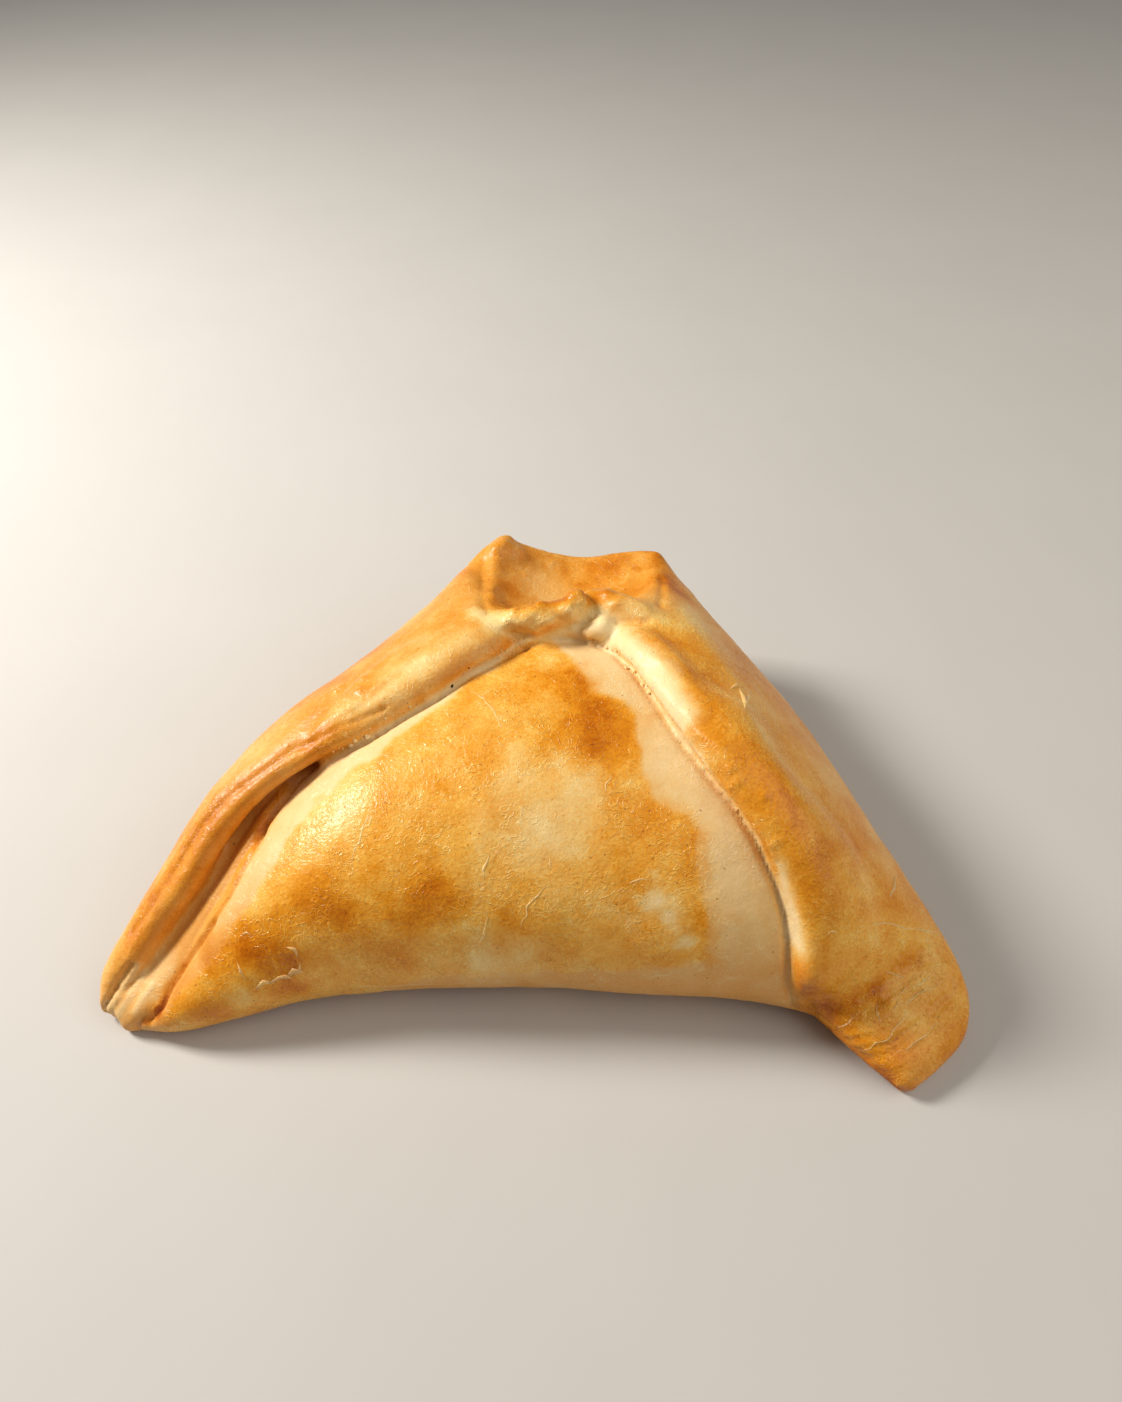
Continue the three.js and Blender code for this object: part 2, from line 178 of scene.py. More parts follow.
# Lumps of dough: a pixel, the radius and the rise
LUMPS = [(486, 613, 1.6, 0.9), (475, 609, 1.3, 0.8), (499, 626, 1.4, 0.9), (594, 632, 2.2, 0.9),
         (601, 614, 2.2, 0.8), (602, 630, 2.2, 0.9), (606, 598, 1.9, 0.8), (577, 598, 2.2, 0.8),
         (591, 597, 2.0, 0.8)]

# Small lumps about the torn roll: how many, how far they stray from its line, their radii and rises
TORN_LUMPS = 46
TORN_SPREAD = 1.7
TORN_RADII = (0.7, 1.7)
TORN_RISES = (0.2, 0.6)

# The strip under the left lip: places in the frame and the radius there, and how far its two rows of
# balls lie from those places
STRIP = [((-49.9, -7.1, 20.6), 3.0), ((-55.0, -14.5, 18.4), 3.5), ((-60.9, -23.9, 13.0), 3.7),
         ((-67.4, -31.7, 8.0), 3.6), ((-72.4, -38.5, 4.8), 3.4), ((-75.7, -41.0, 3.2), 2.8)]
STRIP_SPREAD = Vector((1.6, 0, 0))

# How far the grounds are baked and washed: the flaps, the bare belly and its low part, and the
# washed belly. The low part is darker, partly from browner dough near the floor and partly as painted
# shade.
FLAP_BAKE, FLAP_WASH = 0.35, 0.55
BELLY_BAKE, LOW_BAKE_AND_SHADE = 0.10, 0.22
WASHED_BAKE, WASHED_WASH = 0.14, 0.95

# The paint along lines, for each field: a line, the half width, the amount, and how rough its edge is
TINTS = {
    "bake_and_shading": [
        # LEFT_SHOULDER[4:] is painted paler: a painted highlight along the band's lower outline, which faces
        # the key light
        (LEFT_SHOULDER[:4], 3.0, 0.08), (LEFT_SHOULDER[4:], 2.4, -0.06), (LEFT_CRACK, 1.5, 0.12, 0.8),
        (LEFT_ROLL, 3.0, 0.05), (LEFT_MIDDLE[2:], 5.0, 0.07), (LEFT_FOLD, 4.0, -0.24),
        # INNER_FACE, STRIP_GAP, STRIP_FOOT and STRIP_CRACK are painted shade: on the band's inner face, and
        # in the gap, wedge and crack between the strip and the belly
        (HOLLOW_EDGE, 3.0, 0.04), (INNER_FACE, 2.5, 0.08), (STRIP_GAP, 1.4, 0.10),
        (STRIP_FACE, 4.2, -0.02), (STRIP_FOOT[:4], 0.6, 0.12), (STRIP_FOOT[3:], 0.8, 0.28),
        (STRIP_CRACK, 0.4, 0.12), (RIGHT_OUTER, 6.0, -0.06), (FLAP_BROWN, 4.6, 0.04, 0.4),
        # RIGHT_RIM, LIP_FACE and two stretches of RIGHT_FOOT are painted paler: partly bare dough, partly
        # painted light on the lip's face, which turns to the key light
        (RIGHT_RIM, 2.0, -0.28), (LIP_END, 2.0, 0.12), (LIP_FACE, 2.8, -0.36),
        (RIGHT_FOOT[:6], 1.6, -0.16), (RIGHT_FOOT[9:12], 1.6, -0.16), (END_VALLEY, 1.6, 0.14),
        # RIGHT_EAR_FACE is painted browner: partly browning, partly painted shade on the ear's right face,
        # turned from the key light
        (END_FACE, 9.0, -0.05), (EAR_RIDGE, 2.2, 0.03), (RIGHT_EAR_FACE, 2.6, 0.26),
        (TORN_MIDDLE[:5], 4.0, -0.26), (TORN_TOP, 1.8, 0.15, 0.9), (SECOND_FOLD[2:], 3.0, -0.18),
        (TORN_END, 2.4, -0.2), (TORN_BOTTOM, 1.6, -0.2),
    ],
    "wash": [
        # RIGHT_RIM, LIP_FACE and RIGHT_FOOT lose wash here as bare dough on the lip's face, which is also
        # painted paler as painted light
        (STRIP_FACE, 4.2, -0.9), (RIGHT_OUTER, 8.0, 0.4), (FLAP_BROWN, 7.0, 0.4), (RIGHT_RIM, 2.0, -0.6),
        (END_VALLEY, 2.5, 0.8), (LIP_FACE, 2.8, -0.5), (RIGHT_FOOT[:6], 1.6, -0.4),
        (RIGHT_FOOT[9:12], 1.6, -0.4), (END_STREAKS, 7.0, 0.3), (END_FACE, 9.0, 0.35),
        (TORN_TOP, 3.0, 0.25), (TORN_INSIDE, 2.0, -0.5),
    ],
    "pale": [
        # LIP_FACE is painted pale here as painted light on the lip's face, which turns to the key light
        *((ridge, 0.7, 0.4) for ridge in TIP_RIDGES), (LIP_FACE, 2.2, 0.45), (TORN_END, 1.4, 0.25, 0.9),
        (TORN_INSIDE, 1.8, 0.6),
    ],
    "wet": [(LEFT_BLISTER, 3.0, 0.6), (END_VALLEY, 2.5, 0.7), (TORN_TOP, 2.0, 0.2)],
}

# Brown patches and one painted shadow: a pixel, the half width, and how much browner the middle is, or paler
# if negative
BROWN_AND_SHADOW_SPOTS = {
    "crown": (599, 715, 5.6, 0.22),
    "crown_low": (618, 738, 4.6, 0.14),
    "crown_left": (570, 718, 6.0, 0.16),
    "crown_foot": (583, 747, 4.0, 0.18),
    "top": (549, 676, 3.2, 0.24),
    "top_right": (579, 678, 2.2, 0.16),
    "middle_left": (454, 774, 6.0, 0.08),
    "belly_low": (442, 899, 4.6, 0.18),
    "belly_low_left": (424, 904, 5.0, 0.12),
    "left_low": (362, 939, 4.6, 0.12),
    "left_mid": (332, 905, 6.5, 0.14),
    "left_high": (338, 868, 5.0, 0.08),
    "left_far": (305, 905, 5.0, 0.10),
    "low_middle": (405, 945, 5.5, 0.08),
    "right_mid": (621, 886, 5.4, 0.15),
    "right_high": (620, 815, 6.0, 0.15),
    "right_edge": (688, 845, 5.0, 0.12),
    "lobe": (254, 957, 6.0, 0.34),
    "lobe_left": (238, 944, 3.0, 0.16),
    "lobe_right": (280, 960, 3.4, 0.12),
    "lobe_foot": (200, 1012, 4.0, 0.18),
    "lobe_foot_right": (224, 1015, 3.0, 0.16),
    # A painted shadow in the wedge between the strip's end and the lobe
    "wedge_shadow": (160, 1014, 1.8, 0.35),
    "dish_left": (514, 553, 3.2, 0.06),
    "dish_mid": (530, 558, 3.2, 0.14),
    "dish_foot": (509, 590, 2.6, 0.20),
    "dish_right": (593, 568, 3.2, 0.26),
    "dish_edge": (620, 557, 3.0, 0.20),
    "right_ear": (658, 556, 2.6, 0.26),
    "torn_mid": (555, 606, 2.4, 0.10),
    "torn_right": (590, 599, 3.0, 0.15),
    "fold_end": (612, 602, 3.0, 0.18),
    "flap_top": (690, 622, 5.0, -0.14),
    "flap_upper": (706, 712, 3.6, 0.08),
    "flap_low": (790, 842, 4.0, 0.10),
    "flap_wide": (822, 880, 7.0, 0.08),
    "end_gold": (850, 950, 7.0, -0.10),
    "valley_deep": (832, 1011, 3.0, 0.15),
    "valley_red": (872, 989, 2.4, 0.22),
    "valley_end": (906, 960, 3.0, 0.14),
    "end_foot": (860, 1048, 3.6, 0.05),
    "end_side": (838, 1032, 2.6, 0.08),
    "end_tip": (888, 1074, 3.4, 0.16),
}

# Pale patches where the wash has missed: a pixel, the half width, and how much wash is lost
BARE_SPOTS = {
    "hole": (653, 900, 2.8, 0.7),
    "hole_right": (671, 915, 2.2, 0.6),
    "hole_left": (629, 920, 2.0, 0.4),
    "hole_low": (686, 941, 1.9, 0.7),
    "belly_middle": (548, 818, 9.0, 0.5),
    "belly_foot": (505, 965, 6.0, 0.4),
}

# Thin pale wrinkles that stand a little proud
VEIN_HALF_WIDTH = 0.3
VEIN_HEIGHT = 0.09
VEIN_ROOT = 0.06
VEINS = [
    [(370, 809), (363, 830), (355, 851), (350, 869)],
    [(489, 854), (484, 871), (485, 880)],
    [(551, 886), (540, 893), (526, 904), (527, 914), (521, 929)],
    [(484, 909), (489, 919), (484, 936), (476, 948)],
    [(651, 879), (640, 881), (628, 885)],
    [(611, 774), (607, 784), (606, 794)],
    [(469, 690), (484, 700), (496, 714), (504, 732)],
    [(867, 929), (879, 923), (890, 923), (905, 928), (919, 929)],
    [(848, 1052), (868, 1049), (887, 1040), (902, 1020), (912, 1000)],
    [(910, 980), (900, 996), (893, 1008)],
    [(884, 974), (895, 974), (906, 978)],
    [(549, 859), (551, 870)],
    [(819, 1033), (835, 1030), (850, 1022), (856, 1013)],
    [(876, 1004), (878, 1013), (880, 1022)],
    [(902, 996), (919, 984), (936, 974)],
    [(893, 1010), (912, 998), (930, 988), (946, 980)],
    [(888, 1058), (905, 1050), (925, 1036), (940, 1022)],
    [(827, 935), (831, 932), (838, 934)],
    [(913, 929), (926, 930), (939, 933)],
    [(340, 985), (380, 987), (420, 984), (455, 985)],
    [(640, 978), (665, 975), (682, 969)],
]

# Thin flakes that lift off: their line, width and lift
FLAKE_THICKNESS = 0.22
FLAKE_PALENESS = 0.34
FLAKES = [
    ([(257, 990), (265, 985), (275, 984)], 1.5, 0.5),
    ([(270, 985), (280, 980), (292, 979)], 1.3, 0.6),
    ([(287, 979), (296, 974), (305, 973)], 1.3, 0.4),
    ([(286, 948), (292, 951), (297, 958)], 0.9, 0.4),
    ([(299, 962), (297, 970), (291, 976)], 0.9, 0.4),
    ([(236, 962), (238, 972), (244, 979)], 0.9, 0.4),
    ([(738, 687), (741, 696), (744, 708)], 0.9, 0.7),
    ([(731, 689), (738, 686), (745, 688)], 0.7, 0.5),
    ([(750, 690), (746, 698), (744, 706)], 0.6, 0.5),
    ([(886, 869), (893, 868), (902, 870)], 0.7, 0.5),
    ([(894, 876), (892, 886), (889, 897)], 0.8, 0.6),
    ([(293, 714), (287, 719), (282, 726)], 0.6, 0.4),
    ([(240, 936), (246, 934), (253, 936)], 0.6, 0.4),
]

# Crumbs at the feet of the lips: a line, how many, and their usual radius
CRUMB_ROWS = [(LEFT_LIP[:6], 22, 0.26), (CRUMB_EDGE, 26, 0.34)]
CRUMB_SPREAD = 0.6

# Dark flecks of burnt dough: a pixel and the radius
FLECKS = [(452, 686, 0.28), (469, 668, 0.26), (234, 844, 0.13)]

# Colours, as they show in plain light
BARE_COLORS = [(0.0, (243, 215, 164)), (0.15, (233, 196, 134)), (0.35, (225, 160, 76)),
               (0.55, (206, 128, 34)), (0.8, (160, 76, 6)), (1.0, (102, 40, 2))]
WASHED_COLORS = [(0.0, (247, 212, 126)), (0.2, (240, 180, 75)), (0.4, (225, 146, 30)), (0.6, (199, 112, 5)),
                 (0.8, (154, 70, 2)), (1.0, (98, 38, 1))]
CRUMB_COLOR = (252, 232, 178)
CRUMB_FIELDS = {"bake_and_shading": 0.15, "wash": 0.0, "pale": 0.5, "wet": 0.0}
PORE_COLOR = (120, 62, 20)
FLOOR_COLOR = (197, 195, 191)
FLECK_COLOR = (44, 28, 16)

# The crust's roughness where it is bare, and what the wash, the wet and the grain add to it
BARE_ROUGHNESS = 0.46
WASH_ROUGHNESS = -0.20
WET_ROUGHNESS = -0.18
GRAIN_ROUGHNESS = 0.3

# The pitches of the crust's texture, and the height of its bumps
PITCHES = {"patches": 6.0, "specks": 0.6, "freckles": 0.45, "grain": 0.42, "wrinkles": 1.5,
           "threads": 1.9, "pores": 1.9, "knobs": 1.5}
BUMP_HEIGHT = 0.16
BUMP_STRENGTH = 0.7

# The strength of the crust's shine, and the light that enters it
CRUST_SOCKETS = {"Specular IOR Level": 0.3, "Subsurface Weight": 0.08,
                 "Subsurface Radius": (0.9, 0.5, 0.22), "Subsurface Scale": 1.5 * MM}

# The studio: each light's place, size, power and colour, the light from all round, and the floor
LIGHTS = {"key": ((-0.47, 0.15, 0.40), 0.16, 5.0, (1.0, 0.95, 0.88)),
          "fill": ((0.58, -0.16, 0.60), 0.9, 3.8, (1.0, 0.92, 0.82))}
SKY_COLOR = (1.0, 0.96, 0.91, 1)
SKY_STRENGTH = 0.17
FLOOR_HALF = 3.0


def linear(color):
    """A colour of 0 to 255 as the shader takes it."""
    shares = [channel / 255 for channel in color]
    return [c / 12.92 if c <= 0.04045 else ((c + 0.055) / 1.055) ** 2.4 for c in shares] + [1.0]


def eased(values, low, high):
    """0 below low and 1 above high, smooth between."""
    share = np.clip((values - low) / (high - low), 0, 1)
    return share * share * (3 - 2 * share)


def ripple(points, pitch, seed=0.0):
    """Smooth noise of about -1 to 1 at the points."""
    places = points / (pitch * MM) + seed
    return np.array([noise.noise(place) for place in places.tolist()])


# The photograph's view

AHEAD = np.array((0, math.cos(PITCH_DOWN), -math.sin(PITCH_DOWN)))
ABOVE = np.array((0, math.sin(PITCH_DOWN), math.cos(PITCH_DOWN)))


def photo_ray(pixel):
    """The direction in which the photograph's camera sees a pixel."""
    right = pixel[0] - IMAGE_SIZE[0] / 2
    up = IMAGE_SIZE[1] / 2 - pixel[1]
    return Vector(AHEAD * FOCAL_PIXELS + ABOVE * up + np.array((right, 0, 0))).normalized()


def pixels_of(points):
    """Where the photograph's camera sees each point, in pixels."""
    away = points - np.array(EYE)
    depth = away @ AHEAD
    across = IMAGE_SIZE[0] / 2 + FOCAL_PIXELS * away[:, 0] / depth
    down = IMAGE_SIZE[1] / 2 - FOCAL_PIXELS * (away @ ABOVE) / depth
    return np.stack([across, down], 1)


def trail_on(tree, line):
    """Points of a surface, and their normals, under a line of pixels."""
    pixels = [line[0]]
    for start, end in zip(line, line[1:]):
        count = max(1, round(math.dist(start, end) / TRAIL_PIXELS))
        shares = [(k + 1) / count for k in range(count)]
        pixels += [(start[0] + (end[0] - start[0]) * s, start[1] + (end[1] - start[1]) * s) for s in shares]
    hits = [tree.ray_cast(EYE, photo_ray(pixel))[:2] for pixel in pixels]
    hits = [hit for hit in hits if hit[0] is not None]
    return np.array([hit[0] for hit in hits]), np.array([hit[1] for hit in hits])


def depth_inside(pixels, outline):
    """How many pixels inside a closed outline each pixel lies, negative outside."""
    corners = np.array(outline, float)
    gaps = np.full(len(pixels), np.inf)
    within = np.zeros(len(pixels), bool)
    for start, end in zip(corners, np.roll(corners, -1, axis=0)):
        side = end - start
        share = np.clip((pixels - start) @ side / (side @ side), 0, 1)
        gaps = np.minimum(gaps, np.linalg.norm(pixels - start - share[:, None] * side, axis=1))
        crosses = (start[1] > pixels[:, 1]) != (end[1] > pixels[:, 1])
        height = side[1] if side[1] else 1.0
        within ^= crosses & (pixels[:, 0] < start[0] + (pixels[:, 1] - start[1]) * side[0] / height)
    return np.where(within, gaps, -gaps)


# The dough's mesh

def linked(name, data):
    """A new object in the scene."""
    holder = bpy.data.objects.new(name, data)
    bpy.context.collection.objects.link(holder)
    return holder


def arrays_of(mesh):
    """A mesh's points and edges as arrays."""
    points = np.empty(len(mesh.vertices) * 3)
    mesh.vertices.foreach_get("co", points)
    edges = np.empty(len(mesh.edges) * 2, np.int64)
    mesh.edges.foreach_get("vertices", edges)
    return points.reshape(-1, 3), edges.reshape(-1, 2)


def welded_solid(node):
    """A copy of the solid's mesh with shared points."""
    welded = bmesh.new()
    welded.from_mesh(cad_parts[node].data)
    bmesh.ops.remove_doubles(welded, verts=welded.verts, dist=1e-6)
    return welded


def edge_points(edges):
    """Points along some edges, about a step of the mesh apart."""
    found = []
    for edge in edges:
        start, end = (vert.co for vert in edge.verts)
        count = max(1, math.ceil(edge.calc_length() / (BASE_PITCH * MM)))
        found += [start.lerp(end, k / count) for k in range(count + 1)]
    return found


def search_tree(places):
    """A tree that finds the nearest of some places."""
    tree = KDTree(len(places))
    for k, place in enumerate(places):
        tree.insert(place, k)
    tree.balance()
    return tree


def gaps_to(points, places):
    """Each point's distance from the nearest of some places."""
    tree = search_tree(places)
    return np.array([tree.find(point)[2] for point in points.tolist()])


def swept(built, rings):
    """Add a closed strip through rings of points."""
    rows = [[built.verts.new(point) for point in ring] for ring in rings]
    count = len(rows[0])
    for row, after in zip(rows, rows[1:]):
        for k in range(count):
            built.faces.new((row[k], row[(k + 1) % count], after[(k + 1) % count], after[k]))
    built.faces.new(rows[0][::-1])
    built.faces.new(rows[-1])


def strip_frames(places, normals):
    """Places along a line with their normals, side directions and shares of its length."""
    ahead = np.gradient(places, axis=0)
    sides = np.cross(normals, ahead)
    sides /= np.linalg.norm(sides, axis=1)[:, None]
    return zip(places, normals, sides, np.linspace(0, 1, len(places)))


def evened(values, rounds=4):
    """Values along a line, eased towards their neighbours."""
    for _ in range(rounds):
        values[1:-1] = (values[:-2] + 2 * values[1:-1] + values[2:]) / 4
    return values


def add_ball(built, place, radius):
    bmesh.ops.create_icosphere(built, subdivisions=2, radius=radius * MM, matrix=Matrix.Translation(place))


def add_lip(built, tree, line, flap_side, stations):
    """Lay the thick edge of a flap along its foot, over the dough's own shape."""
    places, normals = (evened(values) for values in trail_on(tree, line))
    shares, widths, heights = zip(*stations)
    rings = []
    for place, _, side, share in strip_frames(places, normals):
        wide, high = np.interp(share, shares, widths), np.interp(share, shares, heights)
        full = eased(min(share, 1 - share), *LIP_TAPER)
        reach = side * flap_side * wide * MM
        spots = [tree.find_nearest(Vector(place + reach * across)) for across, _ in LIP_SECTION]
        rises = [high * up * full - (1 - full) for _, up in LIP_SECTION]
        top = [spot[0] + spot[1] * rise * MM for spot, rise in zip(spots, rises)]
        root = [spot[0] + spot[1] * LIP_ROOT * MM for spot in spots]
        rings.append(top + root[::-1])
    for ring in rings:
        for point in ring:
            point.z = max(point.z, LIP_LOWEST * MM)
    swept(built, rings)


def add_roll(built, tree, line, start, end, rise):
    """Lay a rounded roll along a line."""
    places, normals = (evened(values) for values in trail_on(tree, line))
    turns = [math.tau * k / 16 for k in range(16)]
    rings = []
    for place, normal, side, share in strip_frames(places, normals):
        wide, high = (first + (last - first) * share for first, last in zip(start, end))
        full = eased(min(share, 1 - share), *ROLL_TAPER)
        middle = place + normal * (rise * full - high) * MM
        reach, lift = side * wide * full * MM, normal * high * full * MM
        rings.append([middle + math.cos(a) * reach + math.sin(a) * lift for a in turns])
    swept(built, rings)


def add_dough(built):
    """Lay the lips, rolls and lumps, and the strip under the left lip, on the dough."""
    tree = BVHTree.FromBMesh(built)
    for lip in LIPS:
        add_lip(built, tree, *lip)
    for roll in ROLLS:
        add_roll(built, tree, *roll)
    tree = BVHTree.FromBMesh(built)
    for across, down, radius, rise in LUMPS:
        places, normals = trail_on(tree, [(across, down)])
        add_ball(built, Vector(places[0] + normals[0] * (rise - radius) * MM), radius)
    random = np.random.default_rng(SEED + 20)
    places, normals = trail_on(tree, TORN_MIDDLE)
    for pick in random.integers(0, len(places), TORN_LUMPS):
        spread = random.normal(0, TORN_SPREAD * MM, 3)
        spot, facing, _, _ = tree.find_nearest(Vector(places[pick] + spread))
        radius = random.uniform(*TORN_RADII)
        add_ball(built, spot + facing * (random.uniform(*TORN_RISES) - radius) * MM, radius)
    for (start, size), (end, next_size) in zip(STRIP, STRIP[1:]):
        count = math.ceil(math.dist(start, end))
        for share in (k / count for k in range(count)):
            place = Vector(start).lerp(Vector(end), share)
            for spot in (place - STRIP_SPREAD, place + STRIP_SPREAD):
                add_ball(built, spot * MM, size + (next_size - size) * share)


def remeshed(solid, pitch):
    """A closed mesh of even quads around a solid."""
    rough = bpy.data.meshes.new("rough")
    solid.to_mesh(rough)
    holder = linked("rough", rough)
    remesh = holder.modifiers.new("even", "REMESH")
    remesh.mode = "VOXEL"
    remesh.voxel_size = pitch * MM
    shaped = bpy.data.meshes.new_from_object(holder.evaluated_get(bpy.context.evaluated_depsgraph_get()))
    bpy.data.objects.remove(holder)
    bpy.data.meshes.remove(rough)
    return shaped


def smoothed(points, edges, share, rounds):
    """Points eased towards the mean of their neighbours, by each one's share."""
    count = len(points)
    start, end = edges.T
    neighbours = np.bincount(edges.ravel(), minlength=count)[:, None]
    for _ in range(rounds):
        total = np.empty_like(points)
        for axis in range(3):
            total[:, axis] = np.bincount(start, points[end, axis], count)
            total[:, axis] += np.bincount(end, points[start, axis], count)
        points = points + 0.5 * share[:, None] * (total / neighbours - points)
    return points


def plain_base(mesh):
    """Join the small faces of the base, which is flat, into few."""
    shaped = bmesh.new()
    shaped.from_mesh(mesh)
    base = [face for face in shaped.faces if all(vert.co.z < 1e-6 for vert in face.verts)]
    region = bmesh.ops.dissolve_faces(shaped, faces=base, use_verts=True)["region"]
    bmesh.ops.triangulate(shaped, faces=region)
    shaped.to_mesh(mesh)
    shaped.free()


# The points about a line: where they lie across and along it, on which side, and how far they face
# as it does
Nearby = namedtuple("Nearby", "index gap side along facing")


class Dough:
    """The dough's points while they are shaped and painted."""

    def __init__(self, mesh):
        self.mesh = mesh
        self.points, self.edges = arrays_of(mesh)
        self.faces = [tuple(face.vertices) for face in mesh.polygons]
        self.lift = np.zeros(len(self.points))
        # The first field holds the browning, and also painted shade and painted light on some faces
        self.fields = {name: np.zeros(len(self.points)) for name in ("bake_and_shading", "wash", "pale", "wet")}
        self.settle()

    def settle(self):
        """Move the points by their lift, and take the normals and the search tree from them."""
        if self.lift.any():
            free = eased(self.points[:, 2], HELD_BELOW * MM, FREE_ABOVE * MM)
            self.points = self.points + self.normals * (self.lift * free * MM)[:, None]
            self.lift[:] = 0
        self.points[:, 2] = np.maximum(self.points[:, 2], 0)
        self.mesh.vertices.foreach_set("co", self.points.ravel())
        self.mesh.update()
        normals = np.empty(self.points.size)
        self.mesh.vertices.foreach_get("normal", normals)
        self.normals = normals.reshape(-1, 3)
        self.tree = BVHTree.FromPolygons(self.points.tolist(), self.faces)

    def trail(self, line):
        """Points of the dough, and their normals, under a line of pixels."""
        return trail_on(self.tree, line)

    def around(self, line, reach):
        """The points within a reach of a line, in millimetres."""
        places, facing = self.trail(line)
        if not len(places):
            return Nearby(np.zeros(0, int), *[np.zeros(0)] * 4)
        if len(places) == 1:
            places, facing = np.repeat(places, 2, axis=0), np.repeat(facing, 2, axis=0)
        low, high = places.min(0) - reach * MM, places.max(0) + reach * MM
        near = np.flatnonzero(np.all((self.points > low) & (self.points < high), axis=1))
        spots, turned = self.points[near], self.normals[near] @ facing.T
        gaps = np.full(len(near), np.inf)
        sides, along, towards = np.zeros((3, len(near)))
        travelled = 0.0
        for k, (start, end) in enumerate(zip(places, places[1:])):
            step = end - start
            length = np.linalg.norm(step)
            share = np.clip((spots - start) @ step / max(length**2, 1e-12), 0, 1)
            gap = np.linalg.norm(spots - start - share[:, None] * step, axis=1)
            closer = gap < gaps
            gaps[closer] = gap[closer]
            sides[closer] = np.sign((spots[closer] - start) @ np.cross(facing[k], step))
            along[closer] = (travelled + share * length)[closer]
            towards[closer] = turned[closer, k]
            travelled += length
        kept = (gaps < reach * MM) & (towards > FACING[0])
        towards = eased(towards[kept], *FACING)
        return Nearby(near[kept], gaps[kept] / MM, sides[kept], along[kept] / MM, towards)

    def relax(self, lines, reach, rounds):
        """Smooth the surface about some lines."""
        share = np.zeros(len(self.points))
        for line in lines:
            near = self.around(line, reach)
            eases = near.facing * (1 - eased(near.gap, 0.5 * reach, reach))
            share[near.index] = np.maximum(share[near.index], eases)
        self.points = smoothed(self.points, self.edges, share, rounds)
        self.settle()

    def press(self, line, width, height, rough=0.0, seed=0.0):
        """Raise a ridge along a line, or sink a groove where the height is negative."""
        near = self.around(line, 3 * width)
        gaps = near.gap
        if rough:
            gaps = gaps * (1 + rough * ripple(self.points[near.index], 1.6 * width, seed))
            height = height * (1 + rough * ripple(self.points[near.index], 1.1 * width, seed + 5))
        self.lift[near.index] += height * near.facing * np.exp(-((gaps / width) ** 2))

    def streak(self, line, reach, height, across, stretch=9.0, seed=0.0):
        """Fine ridges that run along a line."""
        near = self.around(line, reach)
        lengthwise = near.along / (across * stretch)
        crosswise = near.gap * near.side / across
        places = np.stack([lengthwise, crosswise, np.full(len(near.index), seed)], 1)
        ridges = ripple(places * MM, 1.0) * (1 - eased(near.gap, 0.5 * reach, reach))
        self.lift[near.index] += height * near.facing * ridges

    def beads(self, line, spread, count, size, height, seed):
        """Small blisters scattered about a line."""
        random = np.random.default_rng(SEED + seed)
        places, _ = self.trail(line)
        picks = places[random.integers(0, len(places), count)] + random.normal(0, spread * MM, (count, 3))
        sizes = size * random.uniform(0.5, 1.3, count)
        for place, bead in zip(picks, sizes):
            gaps = np.linalg.norm(self.points - place, axis=1) / MM
            self.lift += height * bead / size * np.exp(-((gaps / bead) ** 2))

    def tint(self, name, line, width, amount, rough=0.5, seed=0.0):
        """Paint a soft line or spot into a field."""
        near = self.around(line, 2.6 * width)
        gaps = near.gap * (1 + rough * ripple(self.points[near.index], 1.3 * width, seed))
        gaps = gaps * (1 + 0.5 * rough * ripple(self.points[near.index], 0.45 * width, seed + 3))
        self.fields[name][near.index] += amount * near.facing * np.exp(-((gaps / width) ** 2))

    def seen(self):
        """1 for each point that the photograph's camera sees."""
        found = np.zeros(len(self.points))
        eye = np.array(EYE)
        for k, point in enumerate(self.points):
            away = Vector(point - eye)
            hit = self.tree.ray_cast(EYE, away.normalized())
            found[k] = hit[3] is not None and hit[3] > away.length - 1.0 * MM
        return found


def dough_mesh():
    """The solid as a fine smooth mesh, and points along its seams for pressing in."""
    solid = welded_solid("pastry")
    sharp = [edge for edge in solid.edges if edge.calc_face_angle(0) > math.radians(SHARP_DEGREES)]
    sharp = [edge for edge in sharp if max(vert.co.z for vert in edge.verts) > BASE_CLEAR * MM]
    creases = edge_points(sharp)
    seams = edge_points([edge for edge in sharp if not edge.is_convex])
    mesh = remeshed(solid, BASE_PITCH)
    solid.free()
    points, edges = arrays_of(mesh)
    keep = eased(gaps_to(points, creases), CREASE_NEAR * MM, CREASE_FAR * MM)
    points = smoothed(points, edges, CREASE_KEEP + (1 - CREASE_KEEP) * keep, BASE_ROUNDS)
    points[points[:, 2] < BASE_SNAP * MM, 2] = 0
    mesh.vertices.foreach_set("co", points.ravel())
    layered = bmesh.new()
    layered.from_mesh(mesh)
    bpy.data.meshes.remove(mesh)
    add_dough(layered)
    mesh = remeshed(layered, MESH_PITCH)
    layered.free()
    points, edges = arrays_of(mesh)
    points = smoothed(points, edges, np.ones(len(points)), MESH_ROUNDS)
    points[points[:, 2] < BASE_SNAP * MM, 2] = 0
    mesh.vertices.foreach_set("co", points.ravel())
    plain_base(mesh)
    return mesh, seams


def shape_all_over(dough, seams):
    """The unevenness of the whole dough, and the depth of its seams."""
    gaps = gaps_to(dough.points, seams) / MM
    dough.lift -= SEAM_DEPTH * np.exp(-((gaps / SEAM_WIDTH) ** 2))
    for pitch, height in RIPPLES:
        dough.lift += height * ripple(dough.points, pitch, pitch)
    dough.settle()


